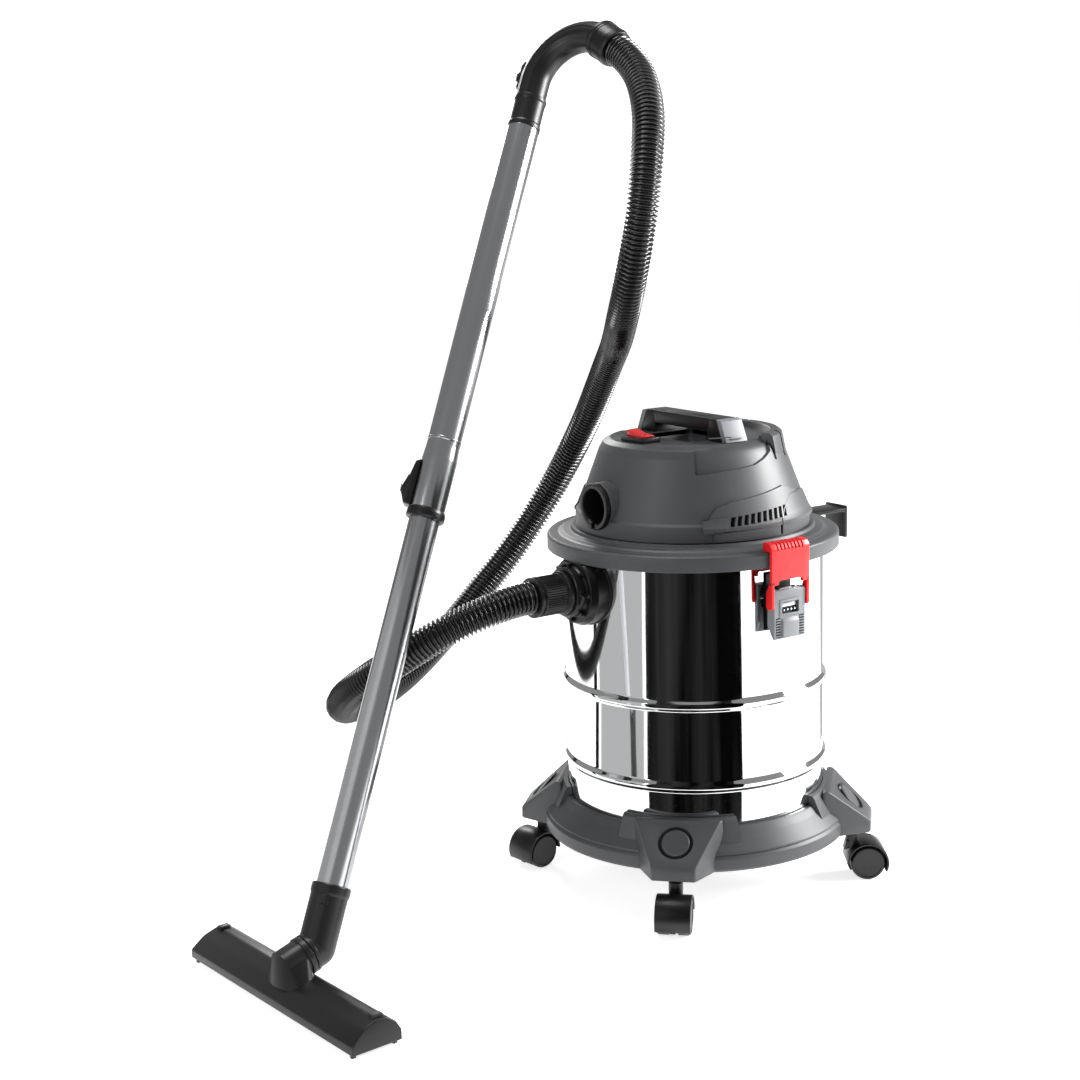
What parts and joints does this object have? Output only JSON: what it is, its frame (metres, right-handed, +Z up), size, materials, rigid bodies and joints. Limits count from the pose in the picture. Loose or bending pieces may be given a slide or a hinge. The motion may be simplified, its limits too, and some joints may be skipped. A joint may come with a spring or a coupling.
{
  "type": "shop vacuum",
  "caption": "Wet and dry drum vacuum on swivel castors: latched motor head, corrugated hose, bent handle, telescopic tube and wide floor nozzle.",
  "frame": {"origin": "on the floor, below the middle of the object's box measured without the hose", "axes": "+Z up; -Y is the side of the hose inlet and the blower port; the two latches face +X and -X"},
  "size_m": [0.5521, 0.8264, 0.9902],
  "materials": {
    "drum_steel": "mirror polished stainless steel",
    "tube_chrome": "chromed steel tube",
    "pin_steel": "bright zinc plated",
    "grey_plastic": "moulded dark grey ABS, satin",
    "light_grey_plastic": "moulded mid grey ABS, satin",
    "black_plastic": "moulded black PP, satin",
    "castor_plastic": "moulded black nylon, satin",
    "red_plastic": "moulded red ABS, gloss",
    "rubber": "moulded black rubber",
    "hose_plastic": "extruded black EVA, gloss",
    "filter_foam": "open cell foam",
    "motor_copper": "lacquered copper windings and steel"
  },
  "bodies": {
    "vacuum": {"drum": "drum_steel", "inlet_gasket": "rubber", "inlet_socket": "black_plastic", "inlet_lock_nut": "black_plastic", "hose_connector": "black_plastic", "castor_base": "grey_plastic", "arm_cap_1": "grey_plastic", "arm_cap_2": "grey_plastic", "arm_cap_3": "grey_plastic", "arm_cap_4": "grey_plastic", "lid_base": "grey_plastic", "lid_gasket": "rubber", "motor_cover": "grey_plastic", "blower_port_ring": "black_plastic", "carry_handle": "black_plastic", "handle_end_cap_right": "light_grey_plastic", "handle_end_cap_left": "light_grey_plastic", "switch_bezel": "black_plastic", "fan_housing": "black_plastic", "motor": "motor_copper", "float_cage": "black_plastic", "filter_sleeve": "filter_foam", "filter_retainer": "black_plastic", "cord_hook": "black_plastic", "cord_gland": "rubber", "latch_right_bracket": "black_plastic", "latch_left_bracket": "black_plastic", "upper_tube": "tube_chrome", "tube_collar": "black_plastic", "tube_latch_housing": "black_plastic", "handle_sleeve": "black_plastic", "handle_grip": "black_plastic", "handle_cuff": "black_plastic", "hose": "hose_plastic"},
    "castor_1": {"castor_1_hood": "castor_plastic", "castor_1_stem": "pin_steel"},
    "wheels_1": {"castor_1_wheels": "castor_plastic"},
    "castor_2": {"castor_2_hood": "castor_plastic", "castor_2_stem": "pin_steel"},
    "wheels_2": {"castor_2_wheels": "castor_plastic"},
    "castor_3": {"castor_3_hood": "castor_plastic", "castor_3_stem": "pin_steel"},
    "wheels_3": {"castor_3_wheels": "castor_plastic"},
    "castor_4": {"castor_4_hood": "castor_plastic", "castor_4_stem": "pin_steel"},
    "wheels_4": {"castor_4_wheels": "castor_plastic"},
    "lever_right": {"latch_right_lever": "light_grey_plastic"},
    "hook_right": {"latch_right_hook": "red_plastic"},
    "lever_left": {"latch_left_lever": "light_grey_plastic"},
    "hook_left": {"latch_left_hook": "red_plastic"},
    "rocker": {"power_rocker": "red_plastic"},
    "fan_wheel": {"impeller": "pin_steel"},
    "float": {"float_ball": "light_grey_plastic"},
    "lower_wand": {"lower_tube": "tube_chrome"},
    "elbow": {"nozzle_elbow": "black_plastic"},
    "nozzle": {"nozzle_body": "black_plastic", "nozzle_strip_front": "rubber", "nozzle_strip_rear": "rubber"},
    "tube_button": {"tube_latch_button": "light_grey_plastic"},
    "air_valve": {"air_slider": "black_plastic"}
  },
  "joints": [
    {"name": "castor_1_swivel", "type": "hinge", "parent": "vacuum", "child": "castor_1", "pos_m": [0.12626, 0.319, 0.05], "axis": [0, 0, 1], "continuous": true},
    {"name": "castor_1_roll", "type": "hinge", "parent": "castor_1", "child": "wheels_1", "pos_m": [0.13521, 0.33227, 0.02], "axis": [-0.829, 0.5592, 0], "continuous": true},
    {"name": "castor_2_swivel", "type": "hinge", "parent": "vacuum", "child": "castor_2", "pos_m": [-0.13537, 0.319, 0.05], "axis": [0, 0, 1], "continuous": true},
    {"name": "castor_2_roll", "type": "hinge", "parent": "castor_2", "child": "wheels_2", "pos_m": [-0.14923, 0.327, 0.02], "axis": [-0.5, -0.866, 0], "continuous": true},
    {"name": "castor_3_swivel", "type": "hinge", "parent": "vacuum", "child": "castor_3", "pos_m": [-0.13537, 0.05737, 0.05], "axis": [0, 0, 1], "continuous": true},
    {"name": "castor_3_roll", "type": "hinge", "parent": "castor_3", "child": "wheels_3", "pos_m": [-0.13314, 0.04153, 0.02], "axis": [0.9903, 0.1392, 0], "continuous": true},
    {"name": "castor_4_swivel", "type": "hinge", "parent": "vacuum", "child": "castor_4", "pos_m": [0.12626, 0.05737, 0.05], "axis": [0, 0, 1], "continuous": true},
    {"name": "castor_4_roll", "type": "hinge", "parent": "castor_4", "child": "wheels_4", "pos_m": [0.13777, 0.04626, 0.02], "axis": [0.6947, 0.7193, 0], "continuous": true},
    {"name": "latch_right_lever", "type": "hinge", "parent": "vacuum", "child": "lever_right", "pos_m": [0.15845, 0.18819, 0.371], "axis": [0, -1, 0], "range_deg": [0, 120]},
    {"name": "latch_right_hook", "type": "hinge", "parent": "lever_right", "child": "hook_right", "pos_m": [0.16145, 0.18819, 0.357], "axis": [0, -1, 0], "range_deg": [-144, 0]},
    {"name": "latch_left_lever", "type": "hinge", "parent": "vacuum", "child": "lever_left", "pos_m": [-0.16755, 0.18819, 0.371], "axis": [0, 1, 0], "range_deg": [0, 120]},
    {"name": "latch_left_hook", "type": "hinge", "parent": "lever_left", "child": "hook_left", "pos_m": [-0.17055, 0.18819, 0.357], "axis": [0, 1, 0], "range_deg": [-144, 0]},
    {"name": "power_switch", "type": "hinge", "parent": "vacuum", "child": "rocker", "pos_m": [-0.00455, 0.11619, 0.5297], "axis": [0, -1, 0], "range_deg": [0, 18]},
    {"name": "fan_spin", "type": "hinge", "parent": "vacuum", "child": "fan_wheel", "pos_m": [-0.00455, 0.18819, 0.44], "axis": [0, 0, 1], "continuous": true},
    {"name": "float_rise", "type": "slide", "parent": "vacuum", "child": "float", "axis": [0, 0, 1], "range_m": [0, 0.03]},
    {"name": "tube_telescope", "type": "slide", "parent": "vacuum", "child": "lower_wand", "axis": [-0.2091, 0.4375, 0.8746], "range_m": [0, 0.22]},
    {"name": "tube_button_slide", "type": "slide", "parent": "vacuum", "child": "tube_button", "axis": [-0.2091, 0.4375, 0.8746], "range_m": [0, 0.006], "stiffness_N_per_m": 300},
    {"name": "elbow_turn", "type": "hinge", "parent": "lower_wand", "child": "elbow", "pos_m": [0.03954, -0.34055, 0.05155], "axis": [-0.2091, 0.4375, 0.8746], "range_deg": [-60, 60]},
    {"name": "nozzle_turn", "type": "hinge", "parent": "elbow", "child": "nozzle", "pos_m": [0.03954, -0.34055, 0.05155], "axis": [-0.0883, 0.9522, 0.2924], "range_deg": [-45, 45]},
    {"name": "air_valve_slide", "type": "slide", "parent": "vacuum", "child": "air_valve", "axis": [-0.2091, 0.4375, 0.8746], "range_m": [0, 0.008]}
  ],
  "couplings": [
    {"joint": "latch_right_hook", "follows": "latch_right_lever", "ratio": -1.2},
    {"joint": "latch_left_hook", "follows": "latch_left_lever", "ratio": -1.2}
  ]
}
